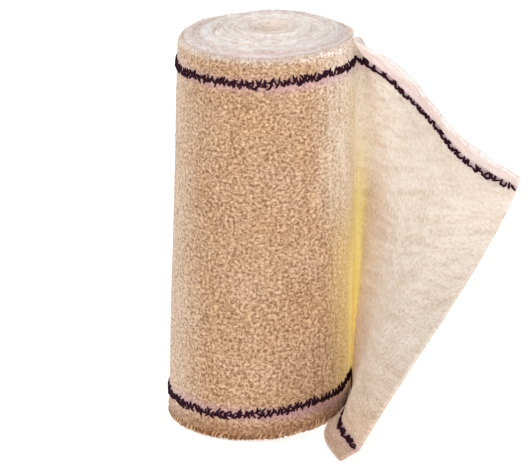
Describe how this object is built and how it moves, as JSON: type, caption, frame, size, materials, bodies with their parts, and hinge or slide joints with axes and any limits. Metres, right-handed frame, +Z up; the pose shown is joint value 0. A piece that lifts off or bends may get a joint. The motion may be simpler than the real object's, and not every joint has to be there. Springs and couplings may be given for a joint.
{
  "type": "crepe bandage roll",
  "caption": "Crepe bandage wound into a roll that stands on its end, with the loose end turned back and hanging open beside it.",
  "frame": {"origin": "on the surface the roll stands on, at the middle of the roll's base", "axes": "+Z up along the standing roll, +X to the side where the loose end leaves the roll, -Y to the side that the loose end is turned to"},
  "size_m": [0.0871, 0.0689, 0.1003],
  "materials": {
    "wound_crepe": "matt woven cotton crepe, pebbled",
    "loose_crepe": "matt woven cotton crepe, pebbled"
  },
  "bodies": {
    "root": {"wound_roll": "wound_crepe", "loose_end": "loose_crepe"}
  },
  "joints": []
}
